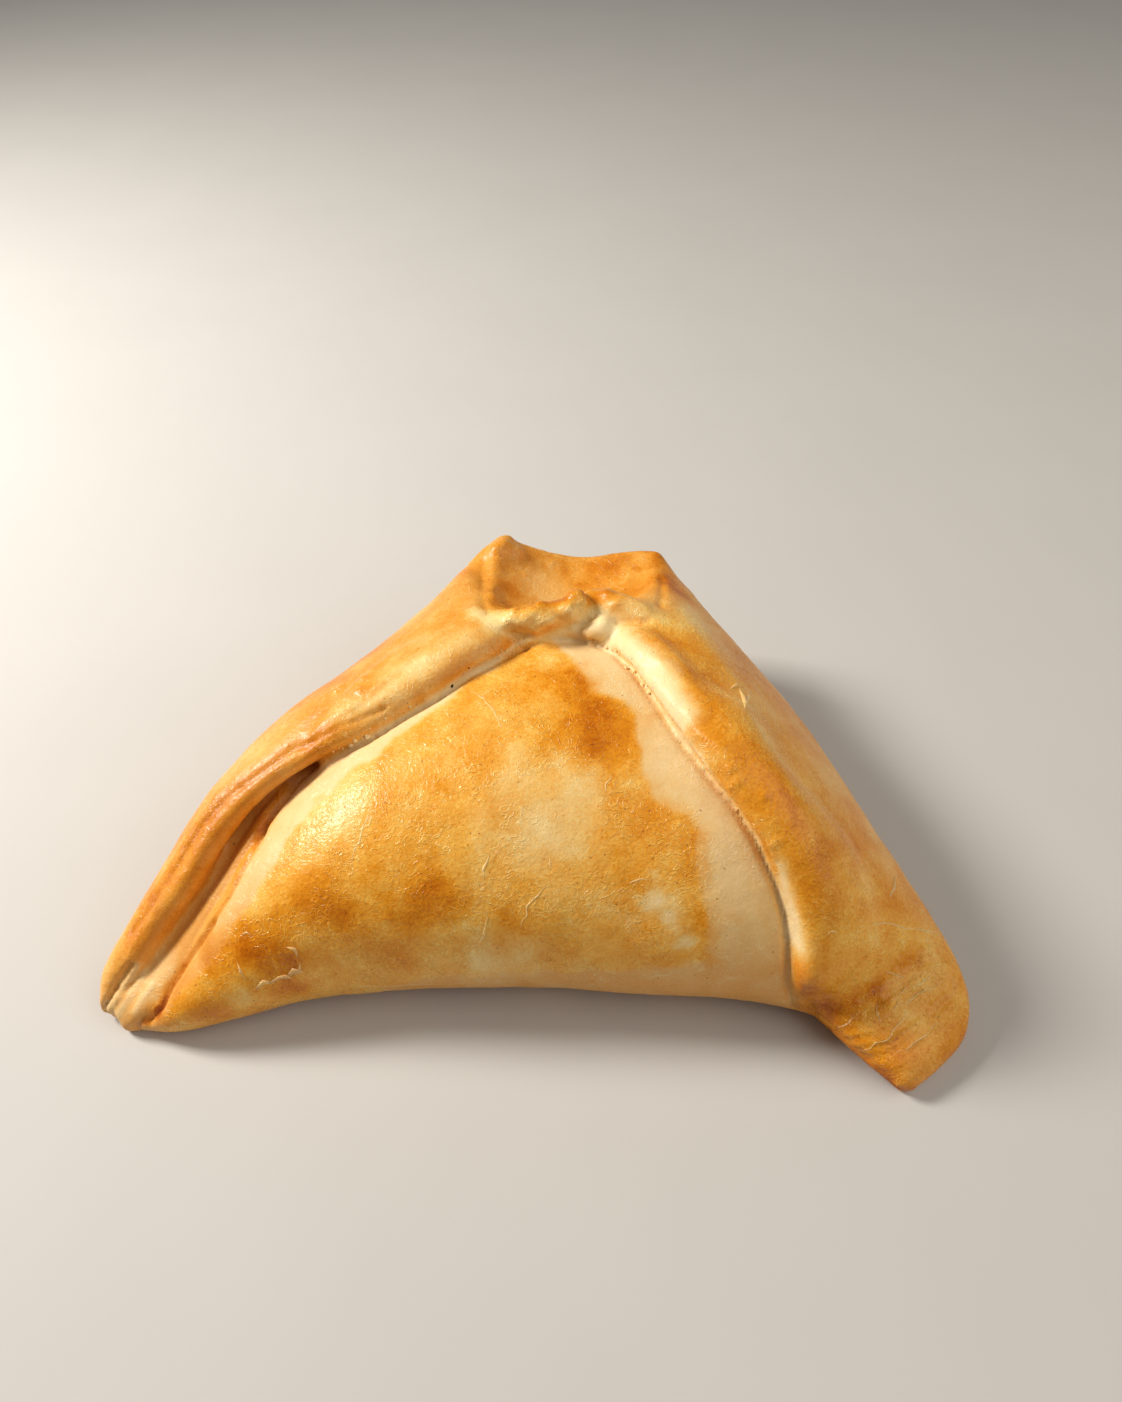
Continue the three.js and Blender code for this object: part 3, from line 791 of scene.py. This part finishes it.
def shape_folds(dough):
    """The larger folds: the lips stand up from the belly, and the ears blend into the flaps."""
    dough.relax([EAR_BLEND, RIGHT_EAR_BLEND], 6, 60)
    dough.relax([FOLD_BLEND], 4, 20)
    dough.press(LIP_TAIL, 5.0, 0.8)
    dough.settle()
    dough.relax([LIP_TAIL], 9, 80)
    dough.press(STRIP_GAP, 1.2, -1.4)
    for line in (RIGHT_BASE, LEFT_BASE, BELLY_TOP):
        dough.press(line, 0.6, -1.0)
    dough.settle()


def shape_left_band(dough):
    dough.streak(LEFT_MIDDLE, 9, 0.22, 1.7, seed=1.0)
    dough.press(TIP_GROOVE, 0.7, -1.0, 0.2)
    for seed, line in enumerate(TIP_RIDGES):
        dough.press(line, 0.7, 0.3, 0.2, seed)
    dough.press(LEFT_CRACK, 1.5, -0.38, 0.2)
    dough.press(LEFT_CRACK, 0.5, -0.25, 0.4)
    dough.beads(LEFT_CRACK, 0.6, 60, 0.5, 0.09, 1)
    dough.beads(LEFT_BLISTER, 1.6, 26, 0.9, 0.3, 2)
    dough.press(STRIP_CRACK, 0.4, -0.5, 0.3)
    dough.press(STRIP_FOOT, 0.7, -1.1, 0.1)


def shape_right_flap(dough):
    dough.streak(RIGHT_OUTER, 16, 0.07, 2.4, seed=2.0)
    dough.streak(END_STREAKS, 9, 0.45, 1.1, seed=3.0)
    dough.press(END_EDGE, 0.9, -0.4, 0.4)
    dough.press(END_VALLEY, 1.6, -0.3, 0.5)
    dough.beads(RIGHT_BEADS, 1.3, 50, 0.6, 0.32, 3)
    dough.beads(END_VALLEY, 1.8, 60, 0.6, 0.3, 4)


def shape_top(dough):
    dough.press(EAR_RIDGE, 2.0, 1.1, 0.2)
    dough.press(EAR_CREASE, 0.9, -0.4, 0.2)
    dough.press(RIGHT_EAR_CREASE, 1.0, -0.5, 0.2)
    dough.press(FOLD_FOOT, 0.8, -0.9, 0.3)
    dough.press(TORN_BOTTOM, 0.6, -0.6, 0.5)
    dough.beads(TORN_TOP, 1.8, 60, 0.9, 0.25, 5)
    dough.beads(EAR_RIDGE, 1.4, 60, 0.7, 0.2, 6)
    dough.beads(DISH_GRAIN, 3.0, 160, 0.8, 0.16, 8)
    dough.beads(TORN_INSIDE, 1.2, 16, 0.8, 0.25, 7)


def paint_grounds(dough):
    """The ground colours: flaps, bare belly, and the washed part of the belly."""
    points, bake_and_shading, wash = dough.points, dough.fields["bake_and_shading"], dough.fields["wash"]
    pixels = pixels_of(points)
    seen = dough.seen()
    coarse, middle = ripple(points, 15, 3), ripple(points, 6, 9)
    wobble = 5 * ripple(points, 5, 1) + 2.5 * ripple(points, 1.6, 2)
    belly = seen * eased(depth_inside(pixels, BELLY_OUTLINE) + 0.4 * wobble, -1, 4)
    washed = belly * eased(depth_inside(pixels, WASH_OUTLINE) + wobble, -1, 7)
    # The bare belly's low part is painted darker: partly browner dough near the floor, partly painted shade
    low = (1 - washed) * (1 - eased(points[:, 2], 10 * MM, 38 * MM))
    bake_and_shading += (1 - belly) * (FLAP_BAKE + 0.12 * coarse + 0.08 * middle)
    bake_and_shading += belly * (BELLY_BAKE + LOW_BAKE_AND_SHADE * low)
    bake_and_shading += washed * (WASHED_BAKE + 0.08 * coarse + 0.08 * middle)
    wash += (1 - belly) * (FLAP_WASH + 0.3 * coarse) + washed * (WASHED_WASH + 0.15 * middle)
    crown = eased(points[:, 2], 30 * MM, 42 * MM) * (points[:, 1] > 40 * MM)
    bake_and_shading += 0.10 * crown * (1 - seen)
    rim = 1 - eased(points[:, 2], 1.0 * MM, 7.0 * MM)
    bake_and_shading += 0.16 * rim * (1 - belly) * (1 + middle)


def paint_lines(dough):
    """The paint along lines of the photograph."""
    for name, tints in TINTS.items():
        for tint in tints:
            dough.tint(name, *tint)


def paint_spots(dough):
    """The brown patches with one painted shadow among them, and the pale ones where the wash has missed."""
    for seed, (across, down, width, amount) in enumerate(BROWN_AND_SHADOW_SPOTS.values()):
        dough.tint("bake_and_shading", [(across, down)], width, amount, 0.9, seed)
        dough.tint("wash", [(across, down)], width, 0.5 * amount, 0.9, seed)
    for seed, (across, down, width, amount) in enumerate(BARE_SPOTS.values()):
        dough.tint("wash", [(across, down)], width, -amount, 0.7, seed)
        dough.tint("bake_and_shading", [(across, down)], width, -0.3 * amount, 0.7, seed)
    dough.tint("wash", WASH_EDGE, 1.6, 0.3)
    dough.tint("bake_and_shading", WASH_EDGE, 1.6, 0.08)
    dough.tint("wet", [BROWN_AND_SHADOW_SPOTS["lobe"][:2]], 5.0, 0.8)


def keep_fields(mesh, fields):
    """Write painted fields to a mesh as attributes."""
    for name, values in fields.items():
        layer = mesh.attributes.new(name, "FLOAT", "POINT")
        layer.data.foreach_set("value", np.clip(values, 0, 1).astype(np.float32))


def match_dough(mesh, dough):
    """Give the flakes the colours of the dough below them, a little paler."""
    nearest = search_tree(dough.points.tolist())
    picks = [nearest.find(vert.co)[1] for vert in mesh.vertices]
    fields = {name: values[picks] for name, values in dough.fields.items()}
    fields["pale"] = fields["pale"] + FLAKE_PALENESS
    keep_fields(mesh, fields)


def paint_crumbs(mesh):
    """Give the crumbs the colour of the pale dough inside the crust."""
    count = len(mesh.vertices)
    keep_fields(mesh, {name: np.full(count, value) for name, value in CRUMB_FIELDS.items()})


# Flakes, wrinkles and crumbs

def add_flake(built, dough, line, width, lift, seed):
    rings = []
    for place, normal, side, share in strip_frames(*dough.trail(line)):
        swell = math.sin(math.pi * (0.06 + 0.88 * share)) ** 0.6 * (1 + 0.18 * math.sin(11 * share + seed))
        reach, rise = side * width * swell * MM, normal * lift * swell * MM
        root = place - normal * 0.3 * MM
        bend = root + 0.55 * reach + 0.75 * rise
        tip = root + reach + rise * 0.85
        under = normal * FLAKE_THICKNESS * MM
        rings.append([root + under, bend + under, tip + 0.3 * under, tip - 0.3 * under, bend, root])
    swept(built, rings)


def add_vein(built, dough, line, seed):
    """A fine crooked wrinkle that stands a little proud."""
    places, normals = dough.trail(line)
    finer = np.linspace(0, len(places) - 1, 4 * len(places))
    columns = range(len(places))
    places = np.stack([np.interp(finer, columns, places[:, axis]) for axis in range(3)], 1)
    normals = np.stack([np.interp(finer, columns, normals[:, axis]) for axis in range(3)], 1)
    rings = []
    for place, normal, side, share in strip_frames(places, normals):
        swell = math.sin(math.pi * (0.05 + 0.9 * share)) * (1 + 0.5 * noise.noise(place * 1500))
        bend = side * 0.5 * MM * noise.noise(place * 600 + np.array((0, 0, seed)))
        spot, facing, _, _ = dough.tree.find_nearest(Vector(place + bend))
        reach = Vector(side) * VEIN_HALF_WIDTH * swell * MM
        root = spot - facing * VEIN_ROOT * MM
        rings.append([root - reach, root + reach, spot + facing * VEIN_HEIGHT * swell * MM])
    swept(built, rings)


def finished(name, built, smooth=True):
    """A piece from a built mesh, its faces turned outwards."""
    bmesh.ops.recalc_face_normals(built, faces=built.faces)
    mesh = bpy.data.meshes.new(name)
    built.to_mesh(mesh)
    built.free()
    if smooth:
        mesh.shade_smooth()
    return linked(name, mesh)


def flakes_piece(dough):
    built = bmesh.new()
    for seed, (line, width, lift) in enumerate(FLAKES):
        add_flake(built, dough, line, width, lift, seed)
    for seed, line in enumerate(VEINS):
        add_vein(built, dough, line, seed)
    return finished("crust_flakes", built)


def add_crumb(built, place, size, random):
    turn = Matrix.Rotation(random.uniform(0, math.tau), 4, Vector(random.normal(0, 1, 3)).normalized())
    stretch = Matrix.Diagonal((*(size * random.uniform(0.5, 1.6, 3)), 1))
    ball = bmesh.ops.create_icosphere(built, subdivisions=1, radius=1, matrix=Matrix())
    for vert in ball["verts"]:
        vert.co *= 1 + 0.4 * noise.noise(vert.co * 1.7 + Vector(place) * 9000)
        vert.co = Matrix.Translation(place) @ turn @ stretch @ vert.co


def crumbs_piece(dough):
    built = bmesh.new()
    random = np.random.default_rng(SEED)
    for line, count, size in CRUMB_ROWS:
        places, _ = dough.trail(line)
        for pick in random.integers(0, len(places), count):
            spread = random.normal(0, CRUMB_SPREAD * MM, 3)
            place = dough.tree.find_nearest(Vector(places[pick] + spread))[0]
            add_crumb(built, place, size * MM * random.lognormal(0, 0.45), random)
    return finished("crumbs", built, smooth=False)


def flecks_piece(dough):
    built = bmesh.new()
    random = np.random.default_rng(SEED + 1)
    for across, down, radius in FLECKS:
        places, _ = dough.trail([(across, down)])
        add_crumb(built, Vector(places[0]), radius * MM, random)
    return finished("burnt_flecks", built, smooth=False)


# Materials

class Shader:
    """A material's nodes, added and linked in few words."""

    def __init__(self, name):
        self.material = bpy.data.materials.new(name)
        self.material.use_nodes = True
        self.nodes = self.material.node_tree.nodes
        self.links = self.material.node_tree.links
        self.surface = self.nodes["Principled BSDF"]
        self.place = self.nodes.new("ShaderNodeTexCoord").outputs["Object"]

    def put(self, socket, value):
        if isinstance(value, bpy.types.NodeSocket):
            self.links.new(value, socket)
        else:
            socket.default_value = value

    def field(self, name):
        node = self.nodes.new("ShaderNodeAttribute")
        node.attribute_name = name
        return node.outputs["Fac"]

    def noise(self, pitch, detail=2.0, distortion=0.0):
        node = self.nodes.new("ShaderNodeTexNoise")
        self.put(node.inputs["Vector"], self.place)
        node.inputs["Scale"].default_value = 1 / (pitch * MM)
        node.inputs["Detail"].default_value = detail
        node.inputs["Distortion"].default_value = distortion
        return node.outputs["Fac"]

    def dots(self, pitch, skipped, near, far, strength):
        """Round dots in cells, apart from a share of them that is skipped."""
        node = self.nodes.new("ShaderNodeTexVoronoi")
        self.put(node.inputs["Vector"], self.place)
        node.inputs["Scale"].default_value = 1 / (pitch * MM)
        picked = self.math("GREATER_THAN", node.outputs["Color"], skipped)
        dots = self.remap(node.outputs["Distance"], near, far, strength, 0.0)
        return self.math("MULTIPLY", picked, dots)

    def threads(self, pitch, width):
        """Fine crooked lines, in patches."""
        away = self.math("ABSOLUTE", self.math("SUBTRACT", self.noise(pitch, 1.0, 0.8), 0.5))
        lines = self.remap(away, 0.0, width, 1.0, 0.0)
        return self.math("MULTIPLY", lines, self.remap(self.noise(8.0, 1.0), 0.4, 0.56))

    def math(self, operation, first, second=0.0, third=0.0):
        node = self.nodes.new("ShaderNodeMath")
        node.operation = operation
        for socket, value in zip(node.inputs, (first, second, third)):
            self.put(socket, value)
        return node.outputs[0]

    def remap(self, value, low, high, to_low=0.0, to_high=1.0):
        node = self.nodes.new("ShaderNodeMapRange")
        node.interpolation_type = "SMOOTHSTEP"
        for socket, entry in zip(node.inputs, (value, low, high, to_low, to_high)):
            self.put(socket, entry)
        return node.outputs[0]

    def ramp(self, value, stops):
        node = self.nodes.new("ShaderNodeValToRGB")
        self.put(node.inputs[0], value)
        elements = node.color_ramp.elements
        while len(elements) < len(stops):
            elements.new(1.0)
        for element, (place, color) in zip(elements, stops):
            element.position = place
            element.color = linear(color)
        return node.outputs[0]

    def mix(self, share, first, second):
        node = self.nodes.new("ShaderNodeMix")
        node.data_type = "RGBA"
        self.put(node.inputs[0], share)
        self.put(node.inputs[6], first)
        self.put(node.inputs[7], second)
        return node.outputs[2]

    def bump(self, height, strength, distance):
        node = self.nodes.new("ShaderNodeBump")
        node.inputs["Strength"].default_value = strength
        node.inputs["Distance"].default_value = distance * MM
        self.put(node.inputs["Height"], height)
        self.put(self.surface.inputs["Normal"], node.outputs[0])

    def speckled(self, pitch, stops, roughness):
        """The material, made a dull surface of a few shades."""
        self.put(self.surface.inputs["Base Color"], self.ramp(self.noise(pitch), stops))
        self.surface.inputs["Roughness"].default_value = roughness
        return self.material


def crust_material():
    """Baked dough: bare and washed colours by how far they are baked, darker or paler where shade or light
    is painted in, with pores and wrinkles.
    """
    crust = Shader("crust")
    bake_and_shading, wash, pale, wet = (crust.field(name) for name in ("bake_and_shading", "wash", "pale", "wet"))
    patchy = crust.math("SUBTRACT", crust.noise(PITCHES["patches"], 3.0, 0.5), 0.5)
    fine = crust.math("SUBTRACT", crust.noise(PITCHES["specks"], 2.0), 0.5)
    mottle = crust.math("ADD", crust.math("MULTIPLY", patchy, 0.6), crust.math("MULTIPLY", fine, 0.4))
    freckles = crust.remap(crust.noise(PITCHES["freckles"], 1.0), 0.58, 0.75)
    mottle = crust.math("MULTIPLY_ADD", freckles, 0.16, mottle)
    baked = crust.math("MULTIPLY_ADD", mottle, crust.remap(wash, 0.0, 1.0, 0.3, 0.8), bake_and_shading)
    threads = crust.threads(PITCHES["threads"], 0.045)
    baked = crust.math("MULTIPLY_ADD", threads, -0.09, baked)
    color = crust.mix(wash, crust.ramp(baked, BARE_COLORS), crust.ramp(baked, WASHED_COLORS))
    color = crust.mix(pale, color, linear(CRUMB_COLOR))
    pores = crust.dots(PITCHES["pores"], 0.55, 0.05, 0.12, 0.6)
    crust.put(crust.surface.inputs["Base Color"], crust.mix(pores, color, linear(PORE_COLOR)))
    rough = crust.math("MULTIPLY_ADD", wash, WASH_ROUGHNESS, BARE_ROUGHNESS)
    rough = crust.math("MULTIPLY_ADD", wet, WET_ROUGHNESS, rough)
    rough = crust.math("MULTIPLY_ADD", fine, GRAIN_ROUGHNESS, rough)
    crust.put(crust.surface.inputs["Roughness"], rough)
    grain = crust.math("MULTIPLY", crust.noise(PITCHES["grain"], 3.0, 0.4), 0.6)
    wrinkles = crust.noise(PITCHES["wrinkles"], 3.0, 1.2)
    relief = crust.math("MULTIPLY_ADD", wrinkles, 1.4, grain)
    relief = crust.math("MULTIPLY_ADD", threads, 0.7, relief)
    relief = crust.math("ADD", relief, crust.dots(PITCHES["knobs"], 0.6, 0.04, 0.16, 0.7))
    relief = crust.math("MULTIPLY", relief, crust.remap(wash, 0.0, 1.0, 0.45, 1.0))
    crust.bump(crust.math("MULTIPLY_ADD", pores, -0.6, relief), BUMP_STRENGTH, BUMP_HEIGHT)
    for name, value in CRUST_SOCKETS.items():
        crust.surface.inputs[name].default_value = value
    return crust.material


def burnt_material():
    darker = [channel * 0.5 for channel in FLECK_COLOR]
    return Shader("burnt").speckled(0.3, [(0.3, darker), (0.8, FLECK_COLOR)], 0.6)


def floor_material():
    lighter = [channel + 2 for channel in FLOOR_COLOR]
    return Shader("floor").speckled(40, [(0.3, FLOOR_COLOR), (0.7, lighter)], 0.8)


# The studio

def add_camera():
    camera = bpy.data.cameras.new("camera")
    camera.sensor_width = SENSOR_MM
    camera.lens = FOCAL_PIXELS * SENSOR_MM / max(IMAGE_SIZE)
    camera.clip_start = 0.01
    seat = linked("camera", camera)
    seat.location = EYE
    seat.rotation_euler = (math.pi / 2 - PITCH_DOWN, 0, 0)
    bpy.context.scene.camera = seat


def add_light(name, place, size, power, color):
    light = bpy.data.lights.new(name, "AREA")
    light.size = size
    light.energy = power
    light.color = color
    holder = linked(name, light)
    holder.location = place
    holder.rotation_euler = (-Vector(place)).to_track_quat("-Z", "Y").to_euler()


def add_studio():
    half = FLOOR_HALF
    corners = [(-half, -half, 0), (half, -half, 0), (half, half, 0), (-half, half, 0)]
    mesh = bpy.data.meshes.new("floor")
    mesh.from_pydata(corners, [], [(0, 1, 2, 3)])
    mesh.materials.append(floor_material())
    linked("floor", mesh)
    for name, light in LIGHTS.items():
        add_light(name, *light)
    world = bpy.data.worlds.new("studio")
    world.use_nodes = True
    world.node_tree.nodes["Background"].inputs["Color"].default_value = SKY_COLOR
    world.node_tree.nodes["Background"].inputs["Strength"].default_value = SKY_STRENGTH
    bpy.context.scene.world = world
    bpy.context.scene.view_settings.view_transform = "Standard"


def dressed_pieces():
    """Every piece of the visual model, the dough first."""
    mesh, seams = dough_mesh()
    dough = Dough(mesh)
    shape_all_over(dough, seams)
    shape_folds(dough)
    shape_left_band(dough)
    shape_right_flap(dough)
    shape_top(dough)
    dough.settle()
    paint_grounds(dough)
    paint_lines(dough)
    paint_spots(dough)
    keep_fields(mesh, dough.fields)
    mesh.shade_smooth()
    flakes, crumbs = flakes_piece(dough), crumbs_piece(dough)
    match_dough(flakes.data, dough)
    paint_crumbs(crumbs.data)
    return linked("baked_dough", mesh), flakes, crumbs, flecks_piece(dough)


add_camera()
add_studio()
baked, flakes, crumbs, flecks = dressed_pieces()
crust = crust_material()
for piece in (baked, flakes, crumbs):
    piece.data.materials.append(crust)
flecks.data.materials.append(burnt_material())
for piece in (baked, flakes, crumbs, flecks):
    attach(piece, "root")
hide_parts("pastry")
